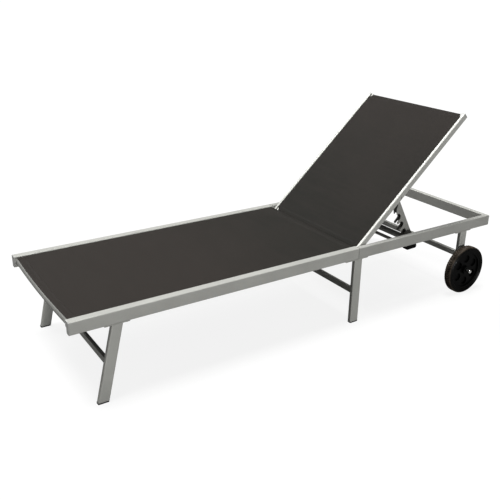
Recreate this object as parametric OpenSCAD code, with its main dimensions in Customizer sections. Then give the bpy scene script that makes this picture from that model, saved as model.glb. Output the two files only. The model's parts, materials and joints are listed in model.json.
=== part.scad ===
// Reclining sun lounger on two wheels: aluminium tube frame with mesh slings.
// X runs from the foot end to the head end, Y across the bed, Z up.
// The origin is on the ground, at the middle of the bed's length and width.

/* [Bed frame] */
// Length from the foot ends of the side rails to the rear rail
bed_length = 1950; // [1900:5:2000]
// Width over the side rails
bed_width = 635; // [620:1:660]
// Height of the side rails' top face
rail_top = 328; // [320:1:340]
// Height of the side rail section
rail_h = 46; // [44:1:48]
// Width of the seat rails, with the sling channel
seat_rail_w = 30; // [28:1:32]
// Width of the plain rails round the backrest
rear_rail_w = 21; // [19:1:22]
// Distance from the foot ends to the seam between seat and rear frame
seam_from_foot = 1179; // [1170:1:1185]
// Wall thickness of the tubes
tube_wall = 1.6; // [1.2:0.1:2]

/* [Legs] */
// Length of the leg section along the bed
leg_l = 40; // [36:1:42]
// Thickness of the leg section across the bed
leg_t = 18; // [16:1:20]
// Distance from the foot ends to the foot legs on the ground
foot_leg_x = 94; // [85:1:105]
// Distance that the foot legs lean towards the foot from top to ground
foot_leg_lean = 66; // [50:1:75]
// Distance from the foot ends to the axle and the rear legs
axle_from_foot = 1792; // [1780:1:1800]
// Height of the foot and middle stretchers
stretcher_z = 136; // [120:1:150]
// Height of the rear stretcher
rear_stretcher_z = 168; // [160:1:180]

/* [Backrest] */
// Angle of the backrest above level in the top notch
recline = 42.2; // [42:0.1:42.4]
// Length of the backrest side rails
back_length = 730; // [725:1:732]
// Width over the backrest side rails
back_width = 581; // [579:1:582]
// Width of a backrest side rail
back_rail_w = 24; // [22:1:25]
// Depth of a backrest side rail
back_rail_d = 25; // [24:0.5:25]
// Distance from the lower end of a backrest rail to its hinge pin
hinge_from_end = 18; // [17:1:19]

/* [Support rack] */
// Distance along the backrest from its hinge to the rack pivot
rack_pivot_u = 266; // [265:0.5:267]
// Angle of the rack below level in the top notch
rack_pitch = 60.8; // [60.7:0.1:60.9]
// Width of the rack channel
rack_w = 20; // [18:1:22]
// Distance from one notch to the next
notch_pitch = 40; // [39:0.5:41]
// Width of a notch
notch_w = 26.2; // [26.2:0.1:26.6]
// Diameter of the crossbar that the rack hooks over
crossbar_d = 25; // [24:0.5:25]

/* [Wheels] */
// Diameter of the wheels
wheel_d = 217; // [210:1:220]
// Width of the tyres
wheel_w = 35; // [30:1:38]
// Diameter of the axle
axle_d = 12; // [10:1:12]

/* [Hidden] */
$fn = 48;

foot_x = -bed_length / 2;
head_x = bed_length / 2;
seam_x = foot_x + seam_from_foot;
axle_x = foot_x + axle_from_foot;
axle_z = wheel_d / 2;
rail_bottom = rail_top - rail_h;
rail_out = bed_width / 2;
seat_rail_in = rail_out - seat_rail_w;
rear_rail_in = rail_out - rear_rail_w;
fit = 0.05;                      // radial clearance of a running pin
touch = 0.02;                    // clearance of a part that sits in another
corner_r = 3;

// sling channel of the seat rails
keder_d = 6;
keder_channel_d = 7;
keder_drop = 5.2;                // depth of the channel's axis below the rail's top
keder_inset = 6;                 // distance of the channel's axis from the rail's inner face
keder_slot = 2.6;
sling_t = 1.2;
seat_sling_z = rail_top - keder_drop;
end_cap_t = 4;
seam_gap = 2;                    // between a seat rail and the rear rail behind it

// feet and plates
plate_t = 3;
plate_z = rail_bottom - plate_t;
glide_h = 8;
leg_in = rail_out - leg_t;
stretcher_l = 15;
stretcher_h = 25;
mid_leg_x = seam_x + 1;
foot_leg_top_x = foot_x + foot_leg_x + foot_leg_lean;

// backrest hinge and frame of the backrest: u along it, w square to it
hinge_x = foot_x + 1210.4;
hinge_z = rail_top - 13.2;
hinge_pin_d = 8;
back_out = back_width / 2;
back_in = back_out - back_rail_w;
back_top = back_rail_d / 2;
back_start = -hinge_from_end;
back_end = back_start + back_length;
back_bar_d = 19;
strip_w = 12.4;
back_keder_y = back_out - strip_w / 2;
back_keder_w = back_top - 4.8;
back_lip_w = back_keder_w - keder_slot / 2;
bracket_t = 3;

// rack: s along its spine from the pivot, n square to it, teeth towards -n
rack_pivot_w = -4;
rack_out = 262;
rack_sheet = 2.5;
spine_back = 8;
spine_front = -6;
tooth_n = -42;
notch_n = -25.9;
top_notch_s = 215.8;
notch_slope = 15;
tie_s = 266;
tie_n = -28;
tie_d = 14;
rack_foot_drop = 254.5;          // how far the rack's level foot lies below its pivot

// crossbar in the engaged notch
crossbar_x = foot_x + 1492.8;
crossbar_z = rail_bottom + 7.5;

// outline helpers: a list of [x, y, corner radius] becomes a list of points
function unit(v) = v / norm(v);
function xy(list, i) = [list[(i + len(list)) % len(list)][0], list[(i + len(list)) % len(list)][1]];
function half_turn(a) = a > 180 ? a - 360 : (a < -180 ? a + 360 : a);
function corner_arc(centre, r, from, turn, n) =
    [for (i = [0:n]) centre + r * [cos(from + turn * i / n), sin(from + turn * i / n)]];
function corner(a, b, c, r, n) =
    r == 0 ? [b] :
    let (u = unit(a - b))
    let (v = unit(c - b))
    let (half = acos(u * v) / 2)
    let (centre = b + unit(u + v) * r / sin(half))
    let (p = b + u * r / tan(half) - centre)
    let (q = b + v * r / tan(half) - centre)
    let (from = atan2(p[1], p[0]))
    corner_arc(centre, r, from, half_turn(atan2(q[1], q[0]) - from), n);
function rounded(list, n = 4) =
    [for (i = [0:len(list) - 1]) each corner(xy(list, i - 1), xy(list, i), xy(list, i + 1), list[i][2], n)];
function box_outline(w, h, r) =
    rounded([[-w / 2, -h / 2, r], [w / 2, -h / 2, r], [w / 2, h / 2, r], [-w / 2, h / 2, r]]);

// section helpers: flat outlines swept along X, Y or Z
module along_x(length) {
    rotate([90, 0, 90]) linear_extrude(length) children();
}
module along_y(length) {
    rotate([90, 0, 0]) linear_extrude(length, center = true) children();
}
module tube_section(w, h, r) {
    difference() {
        polygon(box_outline(w, h, r));
        polygon(box_outline(w - 2 * tube_wall, h - 2 * tube_wall, r - 1));
    }
}
module rod_y(d, length) {
    rotate([90, 0, 0]) cylinder(d = d, h = length, center = true);
}
module both_sides() {
    children();
    mirror([0, 1, 0]) children();
}
module leaned_back() {
    translate([hinge_x, 0, hinge_z]) rotate([0, -recline, 0]) children();
}
module on_rack() {
    leaned_back() translate([rack_pivot_u, 0, rack_pivot_w]) rotate([0, recline + rack_pitch, 0]) children();
}
module in_leg_lean() {
    lean = foot_leg_lean / plate_z;
    multmatrix([[1, 0, lean, foot_x + foot_leg_x], [0, 1, 0, 0], [0, 0, 1, 0]]) children();
}

// side rails of the seat, with a round channel that holds the sling's cord
lip_bottom = rail_bottom + 22;
box_w = 22;
seat_rail_outline = rounded([[seat_rail_in, lip_bottom, corner_r], [rail_out - box_w, lip_bottom, 0],
    [rail_out - box_w, rail_bottom, corner_r], [rail_out, rail_bottom, corner_r],
    [rail_out, rail_top, corner_r], [seat_rail_in, rail_top, corner_r]]);
module seat_rail_section() {
    difference() {
        polygon(seat_rail_outline);
        polygon(rounded([[rail_out - box_w + tube_wall, rail_bottom + tube_wall, 1.4],
            [rail_out - tube_wall, rail_bottom + tube_wall, 1.4],
            [rail_out - tube_wall, rail_top - tube_wall, 1.4],
            [rail_out - box_w + 3 + tube_wall, rail_top - tube_wall, 1.4],
            [rail_out - box_w + 3 + tube_wall, lip_bottom - 2, 1.4],
            [rail_out - box_w + tube_wall, lip_bottom - 2, 1.4]]));
        translate([seat_rail_in + keder_inset, seat_sling_z]) circle(d = keder_channel_d);
        translate([seat_rail_in - 1, seat_sling_z - keder_slot / 2]) square([keder_inset + 1, keder_slot]);
    }
}
module seat_rail() {
    translate([foot_x + end_cap_t, 0, 0])
        along_x(seam_from_foot - end_cap_t - seam_gap / 2) seat_rail_section();
}
module seat_rail_right() {
    color("#8f908b") seat_rail();
}
module seat_rail_left() {
    color("#8f908b") mirror([0, 1, 0]) seat_rail();
}

// plain rails round the backrest, mitred at the rear corners
module at_corner() {
    translate([head_x, rail_out, rail_bottom - 5]) rotate([0, 0, -45]) children();
}
module rear_rail() {
    difference() {
        translate([seam_x + seam_gap / 2, rail_out - rear_rail_w / 2, rail_top - rail_h / 2])
            along_x(head_x - seam_x - seam_gap / 2) tube_section(rear_rail_w, rail_h, corner_r);
        at_corner() translate([0, -60, 0]) cube([60, 120, rail_h + 10]);
    }
}
module rear_rail_right() {
    color("#83847f") rear_rail();
}
module rear_rail_left() {
    color("#83847f") mirror([0, 1, 0]) rear_rail();
}
module rear_end_rail() {
    color("#8b8c87") difference() {
        translate([head_x - rear_rail_w / 2, 0, rail_top - rail_h / 2])
            along_y(bed_width) tube_section(rear_rail_w, rail_h, corner_r);
        both_sides() at_corner() translate([-60, -60, 0]) cube([60 + touch, 120, rail_h + 10]);
    }
}

// plastic caps in the foot ends of the seat rails
module rail_end_cap() {
    translate([foot_x, 0, 0]) along_x(end_cap_t - touch) difference() {
        polygon(seat_rail_outline);
        translate([seat_rail_in + keder_inset, seat_sling_z]) circle(d = keder_d);
    }
    translate([foot_x + end_cap_t - 1, rail_out - box_w + tube_wall + 0.7, rail_bottom + tube_wall + 0.7])
        cube([19, box_w - 2 * tube_wall - 1.4, 16]);
}
module rail_end_caps() {
    color("#b9bab5") both_sides() rail_end_cap();
}

joiner_l = 120;
// sleeves inside the rails that join the seat half to the rear half
module rail_joiners() {
    color("#6f706c") both_sides()
        translate([seam_x - joiner_l / 2, rail_out - 9.5, rail_top - rail_h / 2])
            along_x(joiner_l) polygon(box_outline(14.8, rail_h - 2 * tube_wall - 0.6, 1.2));
}

// crossbars under the sling's two ends
bow_ends = seat_rail_in - touch;
bow_depth = 6;
bow_drop = 1.5;
bow_d = 24;
bow_z = rail_top - 22;
bow_sides = 16;
bow_steps = 24;
function bow_point(t) =
    [foot_x + bow_d / 2 + 0.5 + bow_depth * t * t, bow_ends * t, bow_z - bow_drop * (1 - t * t)];
function bow_ring(t) = [for (a = [0:bow_sides - 1])
    bow_point(t) + bow_d / 2 * [cos(360 * a / bow_sides), 0, sin(360 * a / bow_sides)]];
module foot_bow_bar() {
    points = [for (i = [0:bow_steps]) each bow_ring(2 * i / bow_steps - 1)];
    sides = [for (i = [0:bow_steps - 1]) for (a = [0:bow_sides - 1])
        [i * bow_sides + a, i * bow_sides + (a + 1) % bow_sides,
        (i + 1) * bow_sides + (a + 1) % bow_sides, (i + 1) * bow_sides + a]];
    first_end = [for (a = [0:bow_sides - 1]) bow_sides - 1 - a];
    last_end = [for (a = [0:bow_sides - 1]) bow_steps * bow_sides + a];
    color("#9c9d98") polyhedron(points, concat(sides, [first_end, last_end]));
}
module seat_rear_bar() {
    color("#6f706c") translate([seam_x - 26, 0, rail_top - 17.4])
        along_y(2 * seat_rail_in - 2 * touch) tube_section(20, 20, corner_r);
}

// seat sling and the cords that hold it in the rails
sling_start = foot_x + 10;
sling_end = seam_x - 4;
module seat_sling() {
    color("#3b3834") translate([sling_start, -seat_rail_in - 1.5, seat_sling_z - sling_t / 2])
        cube([sling_end - sling_start, 2 * seat_rail_in + 3, sling_t]);
}
module seat_keder_cords() {
    color("#2a2826") both_sides()
        translate([sling_start + 4, seat_rail_in + keder_inset, seat_sling_z]) rotate([0, 90, 0])
            cylinder(d = keder_d, h = sling_end - sling_start - 8);
}

// legs, stretchers and mounting plates
module leg_section() {
    tube_section(leg_l, leg_t, 4);
}
module foot_leg() {
    in_leg_lean() translate([0, rail_out - leg_t / 2, glide_h - 3])
        linear_extrude(plate_z - glide_h + 3 - touch) leg_section();
}
module foot_leg_right() {
    color("#7d7e79") foot_leg();
}
module foot_leg_left() {
    color("#7d7e79") mirror([0, 1, 0]) foot_leg();
}
module mid_leg() {
    translate([mid_leg_x, rail_out - leg_t / 2, glide_h - 3])
        linear_extrude(plate_z - glide_h + 3 - touch) leg_section();
}
module mid_leg_right() {
    color("#757671") mid_leg();
}
module mid_leg_left() {
    color("#757671") mirror([0, 1, 0]) mid_leg();
}
rear_leg_low = axle_z - 26;
module rear_leg() {
    difference() {
        translate([axle_x, rail_out - leg_t / 2, rear_leg_low])
            linear_extrude(plate_z - rear_leg_low - touch) leg_section();
        translate([axle_x, rail_out, axle_z]) rod_y(axle_d + 2 * touch, 100);
    }
}
module rear_leg_right() {
    color("#757671") rear_leg();
}
module rear_leg_left() {
    color("#757671") mirror([0, 1, 0]) rear_leg();
}
module stretcher(x, z) {
    translate([x, 0, z]) along_y(2 * leg_in - 2 * touch) tube_section(stretcher_l, stretcher_h, corner_r);
}
module foot_stretcher() {
    color("#5c5d58") stretcher(foot_x + foot_leg_x + foot_leg_lean * stretcher_z / plate_z, stretcher_z);
}
module mid_stretcher() {
    color("#5c5d58") stretcher(mid_leg_x, stretcher_z);
}
module rear_stretcher() {
    color("#5c5d58") stretcher(axle_x, rear_stretcher_z);
}

plate_x = [foot_leg_top_x, mid_leg_x - 7, axle_x - 3];
plate_half = [44, 57, 47];
screw_inset = 9;
module leg_plates() {
    color("#6b6c68") both_sides() for (i = [0:2])
        translate([plate_x[i] - plate_half[i], leg_in + 1, plate_z])
            cube([2 * plate_half[i], leg_t - 2, plate_t - touch]);
}
module plate_screw() {
    rotate([180, 0, 0]) cylinder(d = 10, h = 2.4);
    rotate([180, 0, 0]) translate([0, 0, 2.4]) cylinder(d1 = 9, d2 = 6, h = 1);
}
module plate_screws() {
    color("#a8a8a5") both_sides() for (i = [0:2]) for (side = [-1, 1])
        translate([plate_x[i] + side * (plate_half[i] - screw_inset), rail_out - leg_t / 2, plate_z - touch])
            plate_screw();
}
module glide_pad(x) {
    translate([x, rail_out - leg_t / 2, 0])
        linear_extrude(glide_h - 3 - touch) polygon(box_outline(leg_l, leg_t, 4));
}
module glide_plug(x) {
    translate([x, rail_out - leg_t / 2, glide_h - 4])
        linear_extrude(16) polygon(box_outline(leg_l - 2 * tube_wall - 0.8, leg_t - 2 * tube_wall - 0.8, 2));
}
module leg_glides() {
    color("#1c1c1b") both_sides() {
        glide_pad(foot_x + foot_leg_x);
        in_leg_lean() glide_plug(0);
        glide_pad(mid_leg_x);
        glide_plug(mid_leg_x);
    }
}

module rear_leg_plugs() {
    color("#1c1c1b") both_sides() translate([axle_x, rail_out - leg_t / 2, rear_leg_low - 3]) {
        linear_extrude(3 - touch) polygon(box_outline(leg_l, leg_t, 4));
        linear_extrude(12) polygon(box_outline(leg_l - 2 * tube_wall - 0.8, leg_t - 2 * tube_wall - 0.8, 2));
    }
}

// crossbar that carries the rack, with its end brackets
module rack_crossbar() {
    color("#7b7c77") translate([crossbar_x, 0, crossbar_z]) difference() {
        rod_y(crossbar_d, 2 * (rear_rail_in - bracket_t) - 2 * touch);
        rod_y(crossbar_d - 2 * tube_wall, bed_width);
    }
}
module crossbar_brackets() {
    color("#6f706c") both_sides()
        translate([crossbar_x, rear_rail_in - bracket_t / 2 - touch, crossbar_z + 6.5])
            along_y(bracket_t - touch) polygon(box_outline(46, 38, 8));
}

// hinge: a bracket on each rear rail carries the pin that the backrest turns on
module hinge_brackets() {
    color("#6f706c") both_sides()
        translate([hinge_x, rear_rail_in - bracket_t / 2 - touch, hinge_z - 4])
            along_y(bracket_t - touch) polygon(box_outline(52, 30, 8));
}
module hinge_pins() {
    color("#a8a8a5") both_sides() translate([hinge_x, 0, hinge_z])
        translate([0, (back_in + 2.5 + rear_rail_in - bracket_t) / 2, 0])
            rod_y(hinge_pin_d, rear_rail_in - bracket_t - back_in - 2.5 - 2 * touch);
}

// stub axles with their spacers and end caps
spacer_t = 8;
tyre_in = rail_out + spacer_t + 1;
hub_out = tyre_in + wheel_w + 2;
axle_end = hub_out + 6;
module stub_axles() {
    color("#b5b6b2") both_sides() translate([axle_x, 0, axle_z]) {
        translate([0, (leg_in - 6 + axle_end) / 2, 0]) rod_y(axle_d, axle_end - leg_in + 6);
        translate([0, leg_in - 4 - touch, 0]) rotate([90, 30, 0])
            cylinder(d = 21, h = 8, center = true, $fn = 6);
    }
}
module axle_spacers() {
    color("#2a2a29") both_sides() translate([axle_x, rail_out + spacer_t / 2, axle_z]) difference() {
        rod_y(24, spacer_t - 2 * touch);
        rod_y(axle_d + 2 * touch, 40);
    }
}
module axle_cap() {
    rotate([-90, 0, 0]) difference() {
        rotate_extrude() polygon(concat([[0, 0], [8, 0]],
            [for (a = [0:15:90]) [4 + 4 * cos(a), 15 + 4 * sin(a)]], [[0, 19]]));
        translate([0, 0, -1]) cylinder(d = axle_d + 2 * touch, h = 7 + touch);
    }
}
module axle_caps() {
    color("#d8d9d6") both_sides() translate([axle_x, hub_out + 0.6, axle_z]) axle_cap();
}

// frame of the backrest: its side rails have a raised outer strip beside the sling
back_rail_outline = rounded([[back_in, -back_top, corner_r], [back_out, -back_top, corner_r],
    [back_out, back_top, corner_r], [back_out - strip_w, back_top, 2],
    [back_out - strip_w, back_lip_w, 0], [back_in, back_lip_w, 2]]);
module back_rail() {
    leaned_back() difference() {
        translate([back_start + 3, 0, 0]) along_x(back_length - 6) difference() {
            polygon(back_rail_outline);
            translate([back_in + back_rail_w / 2, (back_keder_w - back_top - 3.5) / 2])
                polygon(box_outline(back_rail_w - 2 * tube_wall, back_keder_w + back_top - 6.7, 1.4));
            translate([back_keder_y, back_keder_w]) circle(d = keder_channel_d);
            translate([back_in - 1, back_keder_w - keder_slot / 2])
                square([back_keder_y - back_in + 1, keder_slot]);
        }
        translate([0, back_out, 0]) rod_y(12 + 2 * touch, 80);
        translate([rack_pivot_u, back_out, rack_pivot_w]) rod_y(8 + 2 * touch, 80);
    }
}
module back_rail_right() {
    color("#949590") back_rail();
}
module back_rail_left() {
    color("#949590") mirror([0, 1, 0]) back_rail();
}
module back_end_caps() {
    color("#b9bab5") both_sides() leaned_back() for (u = [back_start, back_end - 3 + touch])
        translate([u, 0, 0]) along_x(3 - touch) polygon(back_rail_outline);
}
module back_top_bar() {
    color("#6f706c") leaned_back() translate([back_end - 13, 0, -2.5])
        along_y(2 * back_in - 2 * touch) tube_section(back_bar_d, back_bar_d, corner_r);
}
module back_bottom_bar() {
    color("#6f706c") leaned_back() translate([-4.5, 0, -2.5])
        along_y(2 * back_in - 2 * touch) tube_section(back_bar_d, back_bar_d, corner_r);
}
back_sling_start = -14.5;
back_sling_end = back_end - 3;
back_keder_start = 8;            // just above the hinge bush
module back_sling() {
    color("#38352f") leaned_back()
        translate([back_sling_start, -back_keder_y + 4, back_keder_w - sling_t / 2])
            cube([back_sling_end - back_sling_start, 2 * back_keder_y - 8, sling_t]);
}
module back_keder_cords() {
    color("#2a2826") both_sides() leaned_back()
        translate([back_keder_start, back_keder_y, back_keder_w]) rotate([0, 90, 0])
            cylinder(d = keder_d, h = back_sling_end - back_keder_start - 4);
}
module hinge_bushes() {
    color("#242423") both_sides() leaned_back() difference() {
        union() {
            translate([0, back_out - back_rail_w / 2 + 0.25, 0]) rod_y(12, back_rail_w + 0.5);
            translate([0, back_out + 1, 0]) rod_y(18, 2 - 2 * touch);
        }
        translate([0, back_out, 0]) rod_y(hinge_pin_d + 2 * fit, 80);
    }
}
module rack_pivot_bolts() {
    bolt_end = rack_out - rack_w - 3;
    color("#a8a8a5") both_sides() leaned_back() translate([rack_pivot_u, 0, rack_pivot_w]) {
        translate([0, (back_out - 2 + bolt_end) / 2, 0]) rod_y(8, back_out - 2 - bolt_end);
        translate([0, bolt_end, 0]) rod_y(14, 4);
        translate([0, (back_in + rack_out) / 2, 0]) rod_y(13, back_in - rack_out - 0.6);
    }
}

// rack: a channel with hooked notches on its foot side
out_dir = [sin(notch_slope), -cos(notch_slope)];
across = [cos(notch_slope), sin(notch_slope)];
path_slope = 42;                 // direction in which the crossbar leaves the top notch
path_w = notch_w + 0.6;
path_dir = [-sin(path_slope), -cos(path_slope)];
path_side = [-cos(path_slope), sin(path_slope)];
end_r = notch_w / 2 - 0.2;
tip_r = 5;
function with_r(p, r) = [p[0], p[1], r];
function meet(p, d, q, e) = p + d * cross(q - p, e) / cross(d, e);
function notch_c(i) = [top_notch_s - i * notch_pitch, notch_n];
function upper_side(i) = notch_c(i) - across * notch_w / 2;
function lower_side(i) = notch_c(i) + across * notch_w / 2;
function at_tip(p) = p + out_dir * (p[1] - tooth_n) / cos(notch_slope);
function notch_end(i, upper_r) = [with_r(upper_side(i) - out_dir * notch_w / 2, upper_r),
    with_r(lower_side(i) - out_dir * notch_w / 2, end_r)];
function foot_s(n, grow) = (rack_foot_drop + grow + cos(rack_pitch) * n) / sin(rack_pitch);
function rack_foot(grow) = [[foot_s(tooth_n, grow), tooth_n - grow, 7],
    [foot_s(spine_back, grow), spine_back + grow, 9]];
short_tooth = concat([[44, spine_front, 6], [55, -20, 5], with_r(upper_side(3), 2)], notch_end(3, 5));
full_teeth = [for (i = [2, 1]) each concat(
    [with_r(at_tip(lower_side(i + 1)), tip_r), with_r(at_tip(upper_side(i)), tip_r)], notch_end(i, end_r))];
hook_tooth = [with_r(meet(lower_side(1), out_dir, notch_c(0) + path_side * path_w / 2, path_dir), 3),
    with_r(meet(notch_c(0) + path_side * path_w / 2, path_dir,
        notch_c(0) - out_dir * notch_w / 2, across), 5),
    with_r(lower_side(0) - out_dir * notch_w / 2, 8), with_r(at_tip(lower_side(0)), tip_r)];
rack_outline = rounded(concat([[-8, spine_back, 6.9], [-8, spine_front, 6.9]], short_tooth, full_teeth,
    hook_tooth, rack_foot(0)), 5);
module rack() {
    on_rack() difference() {
        translate([0, rack_out - rack_w / 2, 0]) along_y(rack_w) polygon(rack_outline);
        translate([-30, rack_out - rack_w + rack_sheet, tooth_n - 20])
            cube([400, rack_w - 2 * rack_sheet, spine_back - rack_sheet - tooth_n + 20]);
        translate([0, rack_out, 0]) rod_y(8 + 2 * fit, 100);
        translate([tie_s, rack_out, tie_n]) rod_y(tie_d + 2 * touch, 100);
    }
}
module rack_right() {
    color("#868782") rack();
}
module rack_left() {
    color("#868782") mirror([0, 1, 0]) rack();
}
module rack_tie_bar() {
    color("#6f706c") on_rack() translate([tie_s, 0, tie_n]) difference() {
        rod_y(tie_d, 2 * rack_out - 2 * touch);
        rod_y(tie_d - 2 * tube_wall, bed_width);
    }
}
function shoe_outline(start, grow) = rounded(concat([[start, tooth_n - grow, 0]], rack_foot(grow),
    [[start, spine_back + grow, 0]]));
module rack_end_shoes() {
    color("#161616") both_sides() on_rack() translate([0, rack_out - rack_w / 2, 0]) difference() {
        along_y(rack_w + 4) polygon(shoe_outline(tie_s - 12, 2));
        along_y(rack_w + 0.1) polygon(shoe_outline(0, 0.1));
        translate([tie_s, rack_w / 2 - 20, tie_n]) rod_y(tie_d + 2 * touch, 30);
    }
}

// wheels
rim_r = 86;
hub_r = 19;
module tyre() {
    translate([axle_x, tyre_in, axle_z]) rotate([-90, 0, 0]) rotate_extrude()
        polygon(rounded([[rim_r + touch, 2, 1], [wheel_d / 2, 0, 8], [wheel_d / 2, wheel_w, 8],
            [rim_r + touch, wheel_w - 2, 1]], 5));
}
module rim() {
    translate([axle_x, tyre_in, axle_z]) rotate([-90, 0, 0]) difference() {
        union() {
            rotate_extrude() translate([rim_r - 7, 3]) square([7, wheel_w - 6]);
            translate([0, 0, 9]) cylinder(r = rim_r - 4, h = wheel_w - 18);
            translate([0, 0, -0.5]) cylinder(r = hub_r, h = wheel_w + 1);
        }
        for (i = [0:5]) rotate([0, 0, 60 * i + 30]) translate([52, 0, 0]) {
            translate([0, 0, wheel_w / 2 + 2]) cylinder(r = 18, h = wheel_w);
            translate([0, 0, wheel_w / 2 - 2 - wheel_w]) cylinder(r = 18, h = wheel_w);
        }
        cylinder(r = 9 + touch, h = 200, center = true);
    }
}
module bush() {
    translate([axle_x, (tyre_in - 0.5 + hub_out) / 2 - 0.25, axle_z]) difference() {
        rod_y(18, wheel_w + 2);
        rod_y(axle_d + 2 * fit, 100);
    }
}
module wheel_right_tyre() {
    color("#141413") tyre();
}
module wheel_right_rim() {
    color("#1b1b1a") rim();
}
module wheel_right_bush() {
    color("#3a3a38") bush();
}
module wheel_left_tyre() {
    color("#141413") mirror([0, 1, 0]) tyre();
}
module wheel_left_rim() {
    color("#1b1b1a") mirror([0, 1, 0]) rim();
}
module wheel_left_bush() {
    color("#3a3a38") mirror([0, 1, 0]) bush();
}

seat_rail_left();
seat_rail_right();
rear_rail_left();
rear_rail_right();
rear_end_rail();
rail_end_caps();
rail_joiners();
foot_bow_bar();
seat_rear_bar();
seat_sling();
seat_keder_cords();
foot_leg_left();
foot_leg_right();
foot_stretcher();
mid_leg_left();
mid_leg_right();
mid_stretcher();
rear_leg_left();
rear_leg_right();
rear_stretcher();
leg_plates();
plate_screws();
leg_glides();
rear_leg_plugs();
rack_crossbar();
crossbar_brackets();
hinge_brackets();
hinge_pins();
stub_axles();
axle_spacers();
axle_caps();
back_rail_left();
back_rail_right();
back_top_bar();
back_bottom_bar();
back_sling();
back_keder_cords();
back_end_caps();
hinge_bushes();
rack_pivot_bolts();
rack_left();
rack_right();
rack_tie_bar();
rack_end_shoes();
wheel_left_tyre();
wheel_left_rim();
wheel_left_bush();
wheel_right_tyre();
wheel_right_rim();
wheel_right_bush();
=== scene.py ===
"""The sun lounger's slings, tyres, welds, materials, light and camera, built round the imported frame."""
import json
import math

import bpy
import numpy as np
from mathutils import Matrix, Vector


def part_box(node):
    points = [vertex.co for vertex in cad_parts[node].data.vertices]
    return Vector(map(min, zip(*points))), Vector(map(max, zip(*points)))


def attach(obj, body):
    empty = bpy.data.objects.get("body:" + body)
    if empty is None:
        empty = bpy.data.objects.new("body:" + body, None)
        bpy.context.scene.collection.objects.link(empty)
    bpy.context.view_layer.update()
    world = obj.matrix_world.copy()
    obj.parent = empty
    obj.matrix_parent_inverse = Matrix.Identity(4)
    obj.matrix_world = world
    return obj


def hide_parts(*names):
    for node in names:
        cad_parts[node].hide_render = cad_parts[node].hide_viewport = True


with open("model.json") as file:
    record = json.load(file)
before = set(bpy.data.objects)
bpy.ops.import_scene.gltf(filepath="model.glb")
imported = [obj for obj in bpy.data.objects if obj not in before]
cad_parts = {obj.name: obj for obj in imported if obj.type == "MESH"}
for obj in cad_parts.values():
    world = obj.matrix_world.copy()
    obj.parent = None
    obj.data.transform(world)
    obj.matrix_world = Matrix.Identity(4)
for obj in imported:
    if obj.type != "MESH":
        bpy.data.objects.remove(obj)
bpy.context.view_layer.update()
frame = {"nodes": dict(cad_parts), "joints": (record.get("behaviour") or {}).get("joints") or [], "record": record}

MM = 0.001
TAU = 2 * math.pi


# ---------------------------------------------------------------- camera
CAMERA_AT = (-1.5213, -2.1717, 1.3448)
CAMERA_YAW = math.radians(33.13)
CAMERA_PITCH = math.radians(-22.43)
CAMERA_ROLL = math.radians(0.836)
CAMERA_LENS = 49.24
SENSOR_WIDTH = 36
FARTHEST_SEEN = 200


def add_camera():
    cam = bpy.data.objects.new("camera", bpy.data.cameras.new("camera"))
    bpy.context.collection.objects.link(cam)
    ahead = Vector((math.sin(CAMERA_YAW) * math.cos(CAMERA_PITCH),
                    math.cos(CAMERA_YAW) * math.cos(CAMERA_PITCH),
                    math.sin(CAMERA_PITCH)))
    right = ahead.cross(Vector((0, 0, 1))).normalized()
    up = right.cross(ahead)
    side = right * math.cos(CAMERA_ROLL) + up * math.sin(CAMERA_ROLL)
    top = up * math.cos(CAMERA_ROLL) - right * math.sin(CAMERA_ROLL)
    turn = Matrix((side, top, -ahead)).transposed().to_4x4()
    cam.matrix_world = Matrix.Translation(CAMERA_AT) @ turn
    cam.data.sensor_width = SENSOR_WIDTH
    cam.data.lens = CAMERA_LENS
    cam.data.clip_end = FARTHEST_SEEN
    bpy.context.scene.camera = cam


# ---------------------------------------------------------------- light and floor
SKY_COLOUR = (1.0, 0.99, 0.98, 1)
SKY_STRENGTH = 0.17
WHITE = (1, 1, 1, 1)
# name, strength, the way it shines, and its angular size in degrees
SUNS = (
    ("key", 6.3, (0.16, -0.05, -1.0), 22),
    ("rim", 1.7, (0.20, -0.64, -0.74), 20),
    ("fill", 2.5, (0.03, 1.0, -0.03), 8),
)
FLOOR_REACH = 40.0
FLOOR_LEVEL = -0.6 * MM


def add_world():
    """A dim sky that lights the object, and a white backdrop that only the camera sees."""
    world = bpy.data.worlds.new("studio")
    world.use_nodes = True
    tree = world.node_tree
    sky = tree.nodes["Background"]
    sky.inputs["Color"].default_value = SKY_COLOUR
    sky.inputs["Strength"].default_value = SKY_STRENGTH
    backdrop = tree.nodes.new("ShaderNodeBackground")
    backdrop.inputs["Color"].default_value = WHITE
    choice = tree.nodes.new("ShaderNodeMixShader")
    ray = tree.nodes.new("ShaderNodeLightPath")
    tree.links.new(ray.outputs["Is Camera Ray"], choice.inputs[0])
    tree.links.new(sky.outputs[0], choice.inputs[1])
    tree.links.new(backdrop.outputs[0], choice.inputs[2])
    tree.links.new(choice.outputs[0], tree.nodes["World Output"].inputs["Surface"])
    bpy.context.scene.world = world
    bpy.context.scene.view_settings.view_transform = "Standard"


def add_sun(name, strength, towards, angle):
    data = bpy.data.lights.new(name, "SUN")
    data.energy = strength
    data.angle = math.radians(angle)
    light = bpy.data.objects.new(name, data)
    bpy.context.collection.objects.link(light)
    light.rotation_euler = Vector(towards).to_track_quat("-Z", "Y").to_euler()


def add_floor():
    mesh = bpy.data.meshes.new("floor")
    square = ((-1, -1), (1, -1), (1, 1), (-1, 1))
    corners = [(x * FLOOR_REACH, y * FLOOR_REACH, FLOOR_LEVEL) for x, y in square]
    mesh.from_pydata(corners, [], [(0, 1, 2, 3)])
    mesh.materials.append(floor_finish())
    floor = bpy.data.objects.new("floor", mesh)
    bpy.context.collection.objects.link(floor)


def add_studio():
    add_world()
    for sun in SUNS:
        add_sun(*sun)
    add_floor()


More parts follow.
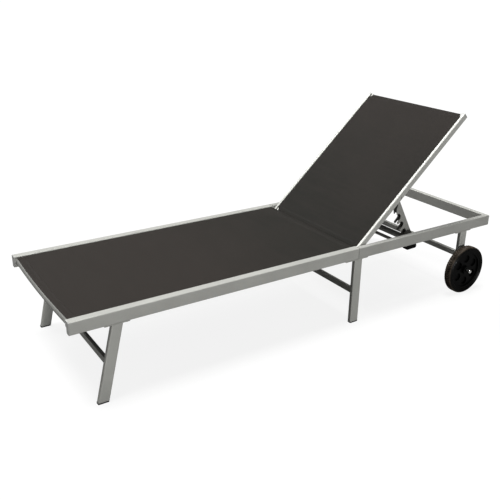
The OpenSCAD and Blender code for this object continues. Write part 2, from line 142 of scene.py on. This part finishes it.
# ---------------------------------------------------------------- where things are
joints = {joint["name"]: joint for joint in frame["joints"]}
HINGE = Vector(joints["backrest_recline"]["pos_m"])
RECLINE = math.radians(-joints["backrest_recline"]["range_deg"][0])
ALONG_BACK = Vector((math.cos(RECLINE), 0, math.sin(RECLINE)))
OUT_OF_BACK = Vector((-math.sin(RECLINE), 0, math.cos(RECLINE)))


def on_back(u, y, w):
    """The point u along the backrest from its hinge, y across it, and w out of its face."""
    return HINGE + ALONG_BACK * u + OUT_OF_BACK * w + Vector((0, y, 0))


def middle(node):
    """The centre of a CAD node's box."""
    low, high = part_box(node)
    return (Vector(low) + Vector(high)) / 2


# ---------------------------------------------------------------- materials
# the sockets of a Mix node that mixes colours
MIX_FACTOR = 0
MIX_A = 6
MIX_B = 7
MIX_RESULT = 2


class Nodes:
    """A material under construction, with short names for the nodes that it needs."""

    def __init__(self, name):
        self.mat = bpy.data.materials.new(name)
        self.mat.use_nodes = True
        self.tree = self.mat.node_tree
        self.shader = self.tree.nodes["Principled BSDF"]
        self.coords = self.tree.nodes.new("ShaderNodeTexCoord").outputs["Object"]

    def put(self, value, socket):
        """Link another node's output to a socket, or give the socket a constant."""
        if isinstance(value, bpy.types.NodeSocket):
            self.tree.links.new(value, socket)
        else:
            socket.default_value = value

    def new(self, kind, inputs=(), **settings):
        node = self.tree.nodes.new(kind)
        for key, value in settings.items():
            setattr(node, key, value)
        for key, value in dict(inputs).items():
            self.put(value, node.inputs[key])
        return node

    def noise(self, scale, detail=3.0, stretch=(1, 1, 1), rough=0.55):
        place = self.new("ShaderNodeMapping", {"Vector": self.coords, "Scale": stretch})
        made = self.new("ShaderNodeTexNoise", {"Vector": place.outputs["Vector"], "Scale": scale,
                                               "Detail": detail, "Roughness": rough})
        return made.outputs["Fac"]

    def ramp(self, value, low, high, start, end):
        """From start to end while the value goes from low to high."""
        made = self.new("ShaderNodeMapRange", {"Value": value, "From Min": low, "From Max": high,
                                               "To Min": start, "To Max": end})
        return made.outputs["Result"]

    def blend(self, factor, a, b):
        """A mix of two colours, each of them an output or three numbers."""
        made = self.new("ShaderNodeMix", {MIX_FACTOR: factor}, data_type="RGBA")
        for index, colour in ((MIX_A, a), (MIX_B, b)):
            whole = colour if isinstance(colour, bpy.types.NodeSocket) else (*colour, 1)
            self.put(whole, made.inputs[index])
        return made.outputs[MIX_RESULT]

    def maths(self, how, a, b=0.0):
        return self.new("ShaderNodeMath", {0: a, 1: b}, operation=how).outputs[0]

    def vector_maths(self, how, a, b=(0, 0, 0)):
        return self.new("ShaderNodeVectorMath", {0: a, 1: b}, operation=how)

    def from_axis(self, point):
        """How far the surface is from the line along Y through a point."""
        spoke = self.vector_maths("SUBTRACT", self.coords, tuple(point))
        flat = self.vector_maths("MULTIPLY", spoke.outputs[0], (1, 0, 1))
        return self.vector_maths("LENGTH", flat.outputs[0]).outputs["Value"]

    def bump(self, height, strength, distance):
        made = self.new("ShaderNodeBump", {"Height": height, "Strength": strength, "Distance": distance})
        return made.outputs["Normal"]

    def finish(self, **sockets):
        for key, value in sockets.items():
            self.put(value, self.shader.inputs[key.replace("_", " ")])
        return self.mat


def shade(colour, by):
    return tuple(c * by for c in colour)


def painted_metal(name, colour, rough=0.42):
    """Powder coat on aluminium: fine orange peel, metal flake, and faint handling marks."""
    n = Nodes(name)
    flake = n.noise(2600, 2.0)
    cloud = n.noise(9, 4.0)
    rub = n.noise(45, 6.0, (0.15, 1, 1), 0.7)
    base = n.blend(n.ramp(cloud, 0.3, 0.7, 0, 1), shade(colour, 0.94), shade(colour, 1.05))
    base = n.blend(n.ramp(flake, 0.52, 0.75, 0, 0.5), base, shade(colour, 1.5))
    base = n.blend(n.ramp(rub, 0.62, 0.8, 0, 0.35), base, shade(colour, 0.8))
    peel = n.bump(n.noise(900, 2.0), 0.12, 0.3 * MM)
    worn = n.ramp(rub, 0.4, 0.8, rough - 0.05, rough + 0.14)
    return n.finish(Base_Color=base, Roughness=worn, Normal=peel, Metallic=0.2, Specular_IOR_Level=0.3)


def moulded_plastic(name, colour, rough=0.5, grain=700, level=0.35):
    """Plastic with a fine grain, dusty in patches. The level is how much it reflects."""
    n = Nodes(name)
    dust = n.noise(22, 5.0)
    base = n.blend(n.ramp(dust, 0.45, 0.75, 0, 1), colour, shade(colour, 1.5))
    skin = n.bump(n.noise(grain, 3.0), 0.25, 0.4 * MM)
    gloss = n.ramp(dust, 0.3, 0.75, rough - 0.08, rough + 0.14)
    return n.finish(Base_Color=base, Roughness=gloss, Normal=skin, Specular_IOR_Level=level)


def metal(name, colour, rough, stretch):
    """Bare or plated metal with duller spots, and brushed lines where the noise is stretched."""
    n = Nodes(name)
    lines = n.noise(160, 3.0, stretch)
    spots = n.noise(60, 5.0)
    base = n.blend(n.ramp(spots, 0.5, 0.8, 0, 0.6), colour, shade(colour, 0.7))
    gloss = n.ramp(lines, 0.3, 0.7, rough - 0.08, rough + 0.12)
    brushed = n.bump(lines, 0.1, 0.2 * MM)
    return n.finish(Base_Color=base, Roughness=gloss, Metallic=1.0, Normal=brushed)


WEAVE = 1.7 * MM


def woven_mesh(name, colour, turn=0.0):
    """Coated yarn in a plain weave with small dark holes, and painted shade near the hinge fold: darker and cooler
    in tone there.
    """
    n = Nodes(name)
    place = n.new("ShaderNodeMapping", {"Vector": n.coords, "Rotation": (0, turn, 0)})
    split = n.new("ShaderNodeSeparateXYZ", {"Vector": place.outputs["Vector"]})
    along = n.maths("SINE", n.maths("MULTIPLY", split.outputs["X"], math.pi / WEAVE))
    across = n.maths("SINE", n.maths("MULTIPLY", split.outputs["Y"], math.pi / WEAVE))
    warp = n.maths("ABSOLUTE", along)
    weft = n.maths("ABSOLUTE", across)
    yarn = n.maths("MAXIMUM", n.maths("POWER", warp, 1.6), n.maths("POWER", weft, 1.6))
    over = n.maths("MULTIPLY", n.maths("MULTIPLY", along, across), 0.35)
    bumps = n.bump(n.maths("ADD", yarn, over), 0.5, 0.4 * MM)
    holes = n.ramp(n.maths("MAXIMUM", warp, weft), 0.35, 0.62, 0, 1)

    slow = n.noise(2.2, 4.0)
    streak = n.noise(60, 3.0, (1, 0.06, 1), 0.6)
    fine = n.noise(420, 2.0)
    # painted shade in the fold: darker and cooler in tone near the hinge line
    from_hinge = n.maths("ADD", n.from_axis(HINGE), n.maths("MULTIPLY", slow, 0.3))
    fold_shade_tone = (colour[0] * 0.56, colour[1] * 0.68, colour[2] * 0.66)
    base = n.blend(n.ramp(from_hinge, 0.15, 0.75, 0, 1), fold_shade_tone, shade(colour, 1.06))
    base = n.blend(n.ramp(slow, 0.35, 0.65, 0, 0.35), base, shade(colour, 1.2))
    base = n.blend(n.ramp(streak, 0.4, 0.7, 0, 0.3), base, shade(colour, 1.3))
    base = n.blend(n.ramp(fine, 0.4, 0.8, 0, 0.45), base, shade(colour, 0.6))
    base = n.blend(holes, shade(colour, 0.25), base)
    gloss = n.ramp(fine, 0.3, 0.7, 0.55, 0.75)
    return n.finish(Base_Color=base, Roughness=gloss, Normal=bumps, Specular_IOR_Level=0.05,
                    Sheen_Weight=0.015, Sheen_Roughness=0.5)


WALL_BLACK = (0.0008, 0.0008, 0.0007)
# the tread is lifted above the walls' black: dust, and a painted highlight
TREAD_DARK = (0.014, 0.011, 0.0082)
TREAD_DUST_AND_HIGHLIGHT = (0.060, 0.048, 0.037)
# below the tread: where the scuffing and the painted highlight begin, and where they are complete
SCUFF_AND_HIGHLIGHT_BEGIN = 7 * MM
SCUFF_AND_HIGHLIGHT_FULL = 1 * MM


def tyre_rubber(name, centre, radius):
    """Black side walls, and a lighter tread where it rolls: dust and scuffing, and a painted highlight."""
    n = Nodes(name)
    tread_scuff_and_highlight = n.ramp(n.from_axis(centre), radius - SCUFF_AND_HIGHLIGHT_BEGIN, radius - SCUFF_AND_HIGHLIGHT_FULL, 0, 1)
    dust = n.noise(38, 5.0)
    # the dusty tone is dust, and also a painted highlight on the tread
    tread = n.blend(n.ramp(dust, 0.35, 0.7, 0, 1), TREAD_DARK, TREAD_DUST_AND_HIGHLIGHT)
    base = n.blend(tread_scuff_and_highlight, WALL_BLACK, tread)
    skin = n.bump(n.noise(520, 3.0), 0.2, 0.3 * MM)
    gloss = n.ramp(dust, 0.3, 0.75, 0.26, 0.42)
    return n.finish(Base_Color=base, Roughness=gloss, Normal=skin, Specular_IOR_Level=0.06)


FLOOR_GLOW = 1.12
FLOOR_LIT_SHARE = 0.22
FLOOR_BOUNCE = (0.15, 0.15, 0.148, 1)


def floor_finish():
    """White paper. The camera sees it lifted towards white, and the object gets little light from it."""
    n = Nodes("studio_floor")
    tone = n.noise(0.6, 3.0)
    paper = n.blend(n.ramp(tone, 0.3, 0.7, 0, 1), (0.30, 0.30, 0.297), (0.31, 0.31, 0.307))
    lit = n.new("ShaderNodeBsdfDiffuse", {"Color": paper}).outputs[0]
    glow = n.new("ShaderNodeEmission", {"Color": WHITE, "Strength": FLOOR_GLOW}).outputs[0]
    seen = n.new("ShaderNodeMixShader", {0: FLOOR_LIT_SHARE, 1: glow, 2: lit}).outputs[0]
    dull = n.new("ShaderNodeBsdfDiffuse", {"Color": FLOOR_BOUNCE}).outputs[0]
    is_camera = n.new("ShaderNodeLightPath").outputs["Is Camera Ray"]
    choice = n.new("ShaderNodeMixShader", {0: is_camera, 1: dull, 2: seen}).outputs[0]
    n.put(choice, n.tree.nodes["Material Output"].inputs["Surface"])
    return n.mat


PAINT = (0.285, 0.286, 0.268)
FINISHES = {
    "frame": painted_metal("silver_paint", PAINT),
    # the back rails' strips: a lighter, glossier copy of the paint, a painted highlight
    "strip": painted_metal("silver_paint_painted_highlight", shade(PAINT, 1.05), 0.36),
    # the rear rails: a darker copy of the paint, painted shade
    "rear": painted_metal("silver_paint_rear_painted_shade", shade(PAINT, 0.87), 0.46),
    # the foot bow bar: a much darker copy of the paint, painted shade
    "bow": painted_metal("silver_paint_bow_painted_shade", shade(PAINT, 0.46), 0.46),
    # the parts below the bed: a lighter copy of the paint, painted light in their shade
    "under": painted_metal("silver_paint_under_painted_light", shade(PAINT, 1.05), 0.5),
    # the racks: a darker copy of the paint, painted shade
    "rack": painted_metal("silver_paint_rack_painted_shade", shade(PAINT, 0.72), 0.5),
    "grey_plastic": moulded_plastic("grey_plastic", (0.24, 0.24, 0.232)),
    "cord": moulded_plastic("cord_plastic", (0.02, 0.019, 0.018), rough=0.6),
    "steel": metal("zinc_steel", (0.56, 0.56, 0.54), 0.32, (1, 30, 1)),
    "cap": metal("axle_cap_metal", (0.82, 0.82, 0.80), 0.18, (1, 1, 1)),
    "black": moulded_plastic("black_plastic", (0.0012, 0.0012, 0.0012), rough=0.34, level=0.05),
    "thread": moulded_plastic("sewing_thread", (0.020, 0.018, 0.016), rough=0.7, grain=900),
}
SLING_COLOUR = (0.0176, 0.0152, 0.0134)

BY_SLOT = {
    "frame_paint": "frame",
    "grey_plastic": "grey_plastic",
    "cord": "cord",
    "zinc_steel": "steel",
    "cap_metal": "cap",
    "black_plastic": "black",
}
# nodes in a lighter or darker copy of their slot's finish, painted light and shade
NODES_BY_KIND = {
    "under": ("foot_stretcher", "mid_stretcher", "rear_stretcher", "seat_rear_bar",
              "rack_crossbar", "rack_tie_bar", "leg_plates"),
    "rack": ("rack_left", "rack_right"),
    "rear": ("rear_rail_left", "rear_rail_right"),
    "strip": ("back_rail_left", "back_rail_right"),
    "bow": ("foot_bow_bar",),
}


def finish_frame():
    """Give the CAD nodes their finishes. Slings and tyres have no kind, because meshes stand for them."""
    kinds = {part["node"]: BY_SLOT.get(part["material_slot"]) for part in frame["record"]["subparts"]}
    kinds.update({node: kind for kind, nodes in NODES_BY_KIND.items() for node in nodes})
    for node, obj in frame["nodes"].items():
        if kinds[node]:
            obj.data.materials.clear()
            obj.data.materials.append(FINISHES[kinds[node]])


# ---------------------------------------------------------------- mesh helpers
def add_piece(name, verts, faces, finish, body):
    """A smooth mesh that moves with a body of the frame and fills a material slot."""
    mesh = bpy.data.meshes.new(name)
    mesh.from_pydata([tuple(v) for v in verts], [], faces)
    mesh.validate()
    mesh.update()
    obj = bpy.data.objects.new(name, mesh)
    bpy.context.collection.objects.link(obj)
    mesh.materials.append(finish)
    mesh.shade_smooth()
    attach(obj, body)
    return obj


def append_mesh(verts, faces, more_verts, more_faces):
    """Add a small mesh to the lists of a larger one."""
    faces += [tuple(len(verts) + k for k in face) for face in more_faces]
    verts += more_verts


def grid_faces(rows, cols, wrap_rows=False, wrap_cols=False):
    """Four-sided faces over a grid of points that are numbered row by row."""
    faces = []
    for i in range(rows if wrap_rows else rows - 1):
        this_row = i * cols
        next_row = (i + 1) % rows * cols
        for j in range(cols if wrap_cols else cols - 1):
            next_col = (j + 1) % cols
            faces.append((this_row + j, this_row + next_col, next_row + next_col, next_row + j))
    return faces


def even(start, end, step):
    """Evenly spread values from start to end, about a step apart."""
    count = max(1, round(abs(end - start) / step))
    return [start + (end - start) * i / count for i in range(count + 1)]


def arc(centre, radius, start, end, steps=6):
    """Points on an arc in a plane, between two angles in degrees."""
    turns = [math.radians(start + (end - start) * i / steps) for i in range(steps + 1)]
    return [(centre[0] + radius * math.cos(a), centre[1] + radius * math.sin(a)) for a in turns]


def ease(t):
    """0 below 0, 1 above 1, and a smooth rise between them."""
    t = min(max(t, 0.0), 1.0)
    return t * t * (3 - 2 * t)


# ---------------------------------------------------------------- cloth and stitches
CLOTH = 1.0 * MM
HEM_WIDTH = 26 * MM
HEM_STEP = 0.9 * MM
HEM_FADE = 1.5 * MM
FOLD_ROUND = 1.2 * MM


def hem_bulge(from_edge):
    """How much thicker the cloth is in its hem, which is round at the fold and ends in a soft step."""
    if from_edge > HEM_WIDTH + HEM_FADE:
        return 0.0
    if from_edge < FOLD_ROUND:
        return HEM_STEP * (0.55 + 0.45 * from_edge / FOLD_ROUND)
    if from_edge < HEM_WIDTH:
        return HEM_STEP
    return HEM_STEP * (1 - (from_edge - HEM_WIDTH) / HEM_FADE)


def grid_normals(grid):
    points = np.array([[list(point) for point in row] for row in grid])
    down_rows = np.gradient(points, axis=0)
    along_rows = np.gradient(points, axis=1)
    normals = np.cross(along_rows, down_rows)
    normals /= np.linalg.norm(normals, axis=2, keepdims=True)
    return [[Vector(normal) for normal in row] for row in normals]


def solid_sheet(name, grid, thickness, finish, body):
    """A closed sheet: grid[i][j] is the middle of the cloth, and thickness[i][j] how thick it is there."""
    rows = len(grid)
    cols = len(grid[0])
    normals = grid_normals(grid)
    spots = [(i, j) for i in range(rows) for j in range(cols)]
    top = [grid[i][j] + normals[i][j] * thickness[i][j] / 2 for i, j in spots]
    low = [grid[i][j] - normals[i][j] * thickness[i][j] / 2 for i, j in spots]
    count = rows * cols
    faces = grid_faces(rows, cols)
    under = [tuple(count + k for k in reversed(face)) for face in faces]
    rim = [i * cols for i in range(rows)]
    rim += [(rows - 1) * cols + j for j in range(1, cols)]
    rim += [i * cols + cols - 1 for i in range(rows - 2, -1, -1)]
    rim += list(range(cols - 2, 0, -1))
    sides = [(rim[k], rim[k - 1], count + rim[k - 1], count + rim[k]) for k in range(len(rim))]
    return add_piece(name, top + low, faces + under + sides, finish, body)


STITCH_PITCH = 4.2 * MM
STITCH_LENGTH = 2.9 * MM
STITCH_WIDTH = 0.55 * MM
STITCH_SIDES = 6
STITCH_FLATNESS = 0.6
# the rings of a stitch: where along it in lengths, then radius and lift in widths
STITCH_RINGS = ((-0.5, 0.35, -0.25), (-0.3, 0.9, 0.25), (0.3, 0.9, 0.25), (0.5, 0.35, -0.25))
SHORTEST = 1e-9


def stitch(at, ahead, out):
    """One short raised stitch."""
    side = ahead.cross(out)
    verts = []
    for along, radius, lift in STITCH_RINGS:
        for k in range(STITCH_SIDES):
            turn = TAU * k / STITCH_SIDES
            up = lift + math.sin(turn) * radius * STITCH_FLATNESS
            verts.append(at + ahead * along * STITCH_LENGTH + out * up * STITCH_WIDTH
                         + side * math.cos(turn) * radius * STITCH_WIDTH)
    faces = grid_faces(len(STITCH_RINGS), STITCH_SIDES, wrap_cols=True)
    faces.append(tuple(reversed(range(STITCH_SIDES))))
    faces.append(tuple(range(len(verts) - STITCH_SIDES, len(verts))))
    return verts, faces


def stitch_rows(name, lines, body):
    """Stitches sewn along lines, each a list of (point, outward normal)."""
    verts = []
    faces = []
    for line in lines:
        points = [point for point, _ in line]
        run = [0.0]
        for a, b in zip(points, points[1:]):
            run.append(run[-1] + (b - a).length)
        k = 0
        for count in range(int(run[-1] / STITCH_PITCH)):
            reached = (count + 0.5) * STITCH_PITCH
            while k < len(points) - 2 and run[k + 1] < reached:
                k += 1
            share = (reached - run[k]) / max(run[k + 1] - run[k], SHORTEST)
            at = points[k].lerp(points[k + 1], share)
            ahead = (points[k + 1] - points[k]).normalized()
            append_mesh(verts, faces, *stitch(at, ahead, line[k][1].normalized()))
    return add_piece(name, verts, faces, FINISHES["thread"], body)


# ---------------------------------------------------------------- seat sling
# the foot bar as the CAD has it: how far it bows in plan, how far it dips, and its radius
BOW_DEPTH = 6 * MM
BOW_DROP = 1.5 * MM
BOW_RADIUS = 12 * MM
BOW_WRAP = math.radians(24)
SLING_ROOM = 0.2 * MM
# how deep the cloth sags, how far from the bar it has come down, and how far from the rails it levels out
SEAT_SAG = 5 * MM
SEAT_LIFT_OFF = 110 * MM
SEAT_EDGE = 14 * MM
# the higher this is, the nearer to the head end the cloth still sags fully
SEAT_SAG_POWER = 14
# a faint wave over the bed, and how far it turns along and across it, in radians
SEAT_WAVE = 0.6 * MM
WAVE_ALONG = 9.2
WAVE_ACROSS = 3.1
# distances in mm from a hem at which the cloth has a row of points
NEAR_HEM = (0, 0.6, 1.2, 3.5, 6, 8.5, 11, 14, 17, 20, 23, 26, 26.7, 27.5, 31, 35)
NEAR_HEM_END = 40 * MM
# distances in mm from the bow bar's ends at which it has a column of points
NEAR_BAR_END = (0, 2, 5, 9, 14)
SEAT_ROW_STEP = 18 * MM
# the distance between columns, as a share of half the width
SEAT_ACROSS_STEP = 0.04
SEAT_STITCHES = (20 * MM, 24.5 * MM)
SEAT_STITCH_MARGIN = 16 * MM
NORMAL_STEP = 2 * MM


def seat_sling():
    cad_low, cad_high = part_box("seat_sling")
    bow_low, bow_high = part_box("foot_bow_bar")
    half = cad_high[1] - SLING_ROOM
    half_bar = bow_high[1]
    level = (cad_low[2] + cad_high[2]) / 2
    head = cad_high[0]
    wrap_radius = BOW_RADIUS + (CLOTH + HEM_STEP) / 2 + SLING_ROOM
    wrap = wrap_radius * BOW_WRAP
    bow_x = bow_low[0] + BOW_RADIUS
    length = head - bow_x + wrap

    def place(d, y):
        """The middle of the cloth, d from the foot hem: round the bowed bar, then along the bed."""
        s = min(abs(y) / half_bar, 1.0)
        slack = 1 - s * s
        bar_x = bow_x + BOW_DEPTH * s * s
        bar_z = bow_high[2] - BOW_RADIUS - BOW_DROP * slack
        along = (d - wrap) * (head - bar_x) / (length - wrap)
        t = max(along, 0) / (head - bar_x)
        rise = ease(along / SEAT_LIFT_OFF)
        dip = SEAT_SAG * slack * (1 - t ** SEAT_SAG_POWER) * rise
        wave = SEAT_WAVE * math.sin(t * WAVE_ALONG) * math.cos(y / half * WAVE_ACROSS) * slack
        top = bar_z + wrap_radius
        if d < wrap:
            turn = BOW_WRAP - d / wrap_radius
            on_bar = Vector((bar_x - wrap_radius * math.sin(turn), y, bar_z + wrap_radius * math.cos(turn)))
        else:
            on_bar = Vector((bar_x + along, y, top + (level - top) * rise - dip + wave))
        in_rail = Vector((bar_x + along, y, level))
        return on_bar.lerp(in_rail, 1 - ease((half_bar - abs(y)) / SEAT_EDGE))

    distances = [d * MM for d in NEAR_HEM]
    distances += even(NEAR_HEM_END, length - NEAR_HEM_END, SEAT_ROW_STEP)
    distances += [length - d * MM for d in reversed(NEAR_HEM)]
    across = [half * k for k in even(-1, 1, SEAT_ACROSS_STEP)]
    across += [sign * (half_bar - d * MM) for sign in (-1, 1) for d in NEAR_BAR_END]
    across.sort()
    grid = [[place(d, y) for y in across] for d in distances]
    thickness = [[CLOTH + hem_bulge(min(d, length - d)) for _ in across] for d in distances]
    weave = woven_mesh("seat_weave", SLING_COLOUR)
    cloth = solid_sheet("seat_sling_cloth", grid, thickness, weave, "frame")
    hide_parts("seat_sling")

    def sewn(d, y):
        """A point on top of the hem, and the way out of the cloth there."""
        ahead = place(d + NORMAL_STEP, y) - place(d - NORMAL_STEP, y)
        out = ahead.normalized().cross(Vector((0, 1, 0)))
        return place(d, y) + out * (CLOTH + HEM_STEP) / 2, out

    sewn_across = [y for y in across if abs(y) < half - SEAT_STITCH_MARGIN]
    rows = [*SEAT_STITCHES, *(length - d for d in reversed(SEAT_STITCHES))]
    lines = [[sewn(d, y) for y in sewn_across] for d in rows]
    stitches = stitch_rows("seat_sling_stitches", lines, "frame")


# ---------------------------------------------------------------- back sling
# the top and bottom bars' half thickness, and the room between them and the cloth
BACK_BAR_HALF = 9.5 * MM
BACK_BAR_ROOM = 0.15 * MM
# the cloth: its height out of the hinge's plane, its bends round the bars, and the flaps behind them
BACK_FACE = 7.7 * MM
BACK_BEND = 3.6 * MM
BACK_FLAP = 9 * MM
BACK_SAG = 2.6 * MM
BACK_SAG_POWER = 8
BACK_END_ROOM = 2.5 * MM
BACK_STITCHES = (14 * MM, 18.5 * MM)
BACK_ROW_STEP = 17 * MM
# as shares of half the width: between columns, an extra column by each edge, and where stitching ends
BACK_ACROSS_STEP = 0.045
BACK_EDGE_POINT = 0.985
BACK_STITCHED = 0.97
# the cloth reaches into the rails from this far past its bends, and points this near the face are on it
FULL_WIDTH_FROM = 2 * MM
LEVEL_WITH = 0.2 * MM


def back_sling():
    top_bar = middle("back_top_bar") - HINGE
    low_bar = middle("back_bottom_bar") - HINGE
    top_u = top_bar.dot(ALONG_BACK)
    top_w = top_bar.dot(OUT_OF_BACK)
    low_u = low_bar.dot(ALONG_BACK)
    low_w = low_bar.dot(OUT_OF_BACK)
    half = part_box("back_sling")[1][1] - SLING_ROOM
    bar_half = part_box("back_top_bar")[1][1] - BACK_END_ROOM
    off = BACK_BAR_HALF + CLOTH / 2 + BACK_BAR_ROOM
    flat_from = low_u - off + BACK_BEND
    flat_to = top_u + off - BACK_BEND

    # the path in (u, w): under the bottom bar, round its front, up the face, over the top bar, and under it
    path = [(low_u + BACK_FLAP, low_w - off), (low_u, low_w - off)]
    path += arc((flat_from, low_w - off + BACK_BEND), BACK_BEND, 270, 180)
    path += arc((flat_from, BACK_FACE - BACK_BEND), BACK_BEND, 180, 90)
    path += [(u, BACK_FACE) for u in even(flat_from, flat_to, BACK_ROW_STEP)[1:-1]]
    path += arc((flat_to, BACK_FACE - BACK_BEND), BACK_BEND, 90, 0)
    path += arc((flat_to, top_w - off + BACK_BEND), BACK_BEND, 0, -90)
    path += [(top_u, top_w - off), (top_u - BACK_FLAP, top_w - off)]

    def dip(u, s):
        """How far the face sags between the bars, and between the rails at s = -1 and 1."""
        t = (u - flat_from) / (flat_to - flat_from)
        return BACK_SAG * (1 - s * s) * (1 - (2 * t - 1) ** BACK_SAG_POWER)

    across = sorted(set(even(-1, 1, BACK_ACROSS_STEP) + [-BACK_EDGE_POINT, BACK_EDGE_POINT]))
    grid = []
    for u, w in path:
        on_face = w > BACK_FACE - LEVEL_WITH
        is_wide = on_face and flat_from + FULL_WIDTH_FROM < u < flat_to - FULL_WIDTH_FROM
        reach = half if is_wide else bar_half
        sags = on_face and flat_from < u < flat_to
        grid.append([on_back(u, s * reach, w - (dip(u, s) if sags else 0.0)) for s in across])
    thickness = [[CLOTH for _ in across] for _ in grid]
    weave = woven_mesh("back_weave", SLING_COLOUR, RECLINE)
    cloth = solid_sheet("back_sling_cloth", grid, thickness, weave, "backrest")
    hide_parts("back_sling")

    rows = [flat_from + d for d in BACK_STITCHES] + [flat_to - d for d in BACK_STITCHES]
    sewn_across = [s for s in across if abs(s) < BACK_STITCHED]
    lines = [[(on_back(u, s * half, BACK_FACE - dip(u, s) + CLOTH / 2), OUT_OF_BACK) for s in sewn_across]
             for u in rows]
    stitches = stitch_rows("back_sling_stitches", lines, "backrest")


# ---------------------------------------------------------------- tyres
RIM_ROOM = 0.1 * MM
TREAD_BLOCKS = 60
STEPS_PER_BLOCK = 8
SHOULDER = 7 * MM
CROWN = 0.5 * MM
TREAD_STEP = 1.6 * MM
GROOVE_DEPTH = 2.4 * MM
GROOVE_SHARE = 0.38
GROOVE_SLANT = 13 * MM
CENTRE_GROOVE_DEPTH = 1.6 * MM
CENTRE_GROOVE_HALF = 1.3 * MM
# faces whose corners are all cut deeper than this are black, painted shade in the grooves
GROOVE_SHADE_FROM = 1 * MM
# the outer side wall, in mm below the tread and in from the face: a groove, a raised band, and a groove
OUTER_WALL = ((8.6, 0), (9.4, 1.3), (10.6, 1.3), (11.4, 0.1),
              (14.5, 0.3), (15.2, 1.6), (16.4, 1.6), (17.1, 0.8))


def tyre_profile(inner, radius, half):
    """The section from the inner face round to the outer one, as (radius, place across, has grooves)."""
    flat = half - SHOULDER

    def shoulder(side, angles):
        turns = [math.radians(angle) for angle in angles]
        return [(radius - SHOULDER + SHOULDER * math.sin(a), side * (flat + SHOULDER * math.cos(a)))
                for a in turns]

    inner_wall = [(inner, -half + 4 * MM), (inner + 1.5 * MM, -half + 2.2 * MM),
                  (inner + 6 * MM, -half + 1 * MM), (radius - 9 * MM, -half + 0.2 * MM)]
    inner_wall += shoulder(-1, (10,))
    tread = shoulder(-1, (30, 50, 70))
    tread += [(radius - CROWN * (abs(x) / flat) ** 2, x) for x in even(-flat, flat, TREAD_STEP)]
    outer_wall = shoulder(1, (70, 50, 30, 10))
    outer_wall += [(radius - below * MM, half - inward * MM) for below, inward in OUTER_WALL]
    outer_wall += [(inner + 1.2 * MM, half - 1.4 * MM), (inner, half - 3 * MM), (inner, 0)]
    return ([(r, x, False) for r, x in inner_wall] + [(r, x, True) for r, x in tread]
            + [(r, x, False) for r, x in outer_wall])


def groove(step, x):
    """How deep the tread is cut: slanting grooves between the blocks, and one groove round the middle."""
    phase = (step / STEPS_PER_BLOCK + abs(x) / GROOVE_SLANT) % 1.0
    cut = GROOVE_DEPTH if phase < GROOVE_SHARE else 0.0
    if abs(x) < CENTRE_GROOVE_HALF:
        cut = max(cut, CENTRE_GROOVE_DEPTH)
    return cut


def tyre(side):
    node = f"wheel_{side}_tyre"
    low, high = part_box(node)
    rim_low, rim_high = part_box(f"wheel_{side}_rim")
    centre = middle(node)
    radius = (high[2] - low[2]) / 2
    inner = (rim_high[2] - rim_low[2]) / 2 + RIM_ROOM
    outward = -1 if side == "left" else 1
    profile = tyre_profile(inner, radius, (high[1] - low[1]) / 2)
    steps = TREAD_BLOCKS * STEPS_PER_BLOCK
    verts = []
    cuts = []
    for step in range(steps):
        turn = TAU * step / steps
        for r, x, has_grooves in profile:
            cut = groove(step, x) if has_grooves else 0.0
            cuts.append(cut)
            spoke = r - cut
            verts.append(centre + Vector((spoke * math.cos(turn), outward * x, spoke * math.sin(turn))))
    faces = grid_faces(steps, len(profile), wrap_rows=True, wrap_cols=True)
    if outward < 0:
        faces = [tuple(reversed(face)) for face in faces]
    obj = add_piece(f"{node}_tread", verts, faces, tyre_rubber(f"tyre_{side}", centre, radius),
                    f"wheel_{side}")
    # the deep groove faces take the black plastic as painted shade
    obj.data.materials.append(FINISHES["black"])
    for face in obj.data.polygons:
        face.material_index = int(all(cuts[k] > GROOVE_SHADE_FROM for k in face.vertices))
    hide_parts(node)


# ---------------------------------------------------------------- weld beads
BEAD_RADIUS = 1.6 * MM
BEAD_STEP = 1.2 * MM
BEAD_SIDES = 8
BEAD_INSET = 0.6 * MM
TUBE_CORNER = 3 * MM
RIPPLE = 0.12
RIPPLE_RATE = 2.1


def weld_bead(centre, half_x, half_z, sign):
    """A rippled fillet round a rectangular tube where it meets a face that looks along Y."""
    loop = []
    for x_sign, z_sign, start in ((1, 1, 0), (-1, 1, 90), (-1, -1, 180), (1, -1, 270)):
        corner = (x_sign * (half_x - TUBE_CORNER), z_sign * (half_z - TUBE_CORNER))
        loop += arc(corner, TUBE_CORNER, start, start + 90, 4)
    path = []
    for (ax, az), (bx, bz) in zip(loop, loop[1:] + loop[:1]):
        count = max(1, round(math.dist((ax, az), (bx, bz)) / BEAD_STEP))
        path += [(ax + (bx - ax) * k / count, az + (bz - az) * k / count) for k in range(count)]
    verts = []
    for i, (x, z) in enumerate(path):
        before = path[i - 1]
        after = path[(i + 1) % len(path)]
        ahead = Vector((after[0] - before[0], 0, after[1] - before[1])).normalized()
        out = ahead.cross(Vector((0, -1, 0)))
        radius = BEAD_RADIUS * (1 + RIPPLE * math.sin(i * RIPPLE_RATE))
        for k in range(BEAD_SIDES):
            turn = TAU * k / BEAD_SIDES
            spot = Vector((x, sign * radius * math.sin(turn), z))
            verts.append(centre + spot + out * radius * math.cos(turn))
    return verts, grid_faces(len(path), BEAD_SIDES, wrap_rows=True, wrap_cols=True)


def weld_beads():
    verts = []
    faces = []
    for node in ("foot_stretcher", "mid_stretcher", "rear_stretcher", "seat_rear_bar"):
        low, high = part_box(node)
        half_x = (high[0] - low[0]) / 2
        half_z = (high[2] - low[2]) / 2
        for y, sign in ((low[1] + BEAD_INSET, 1), (high[1] - BEAD_INSET, -1)):
            centre = Vector((low[0] + half_x, y, low[2] + half_z))
            append_mesh(verts, faces, *weld_bead(centre, half_x, half_z, sign))
    # the beads take the lightened paint of the parts below the bed, painted light in their shade
    add_piece("weld_beads", verts, faces, FINISHES["under"], "frame")


add_camera()
add_studio()
finish_frame()
seat_sling()
back_sling()
tyre("left")
tyre("right")
weld_beads()
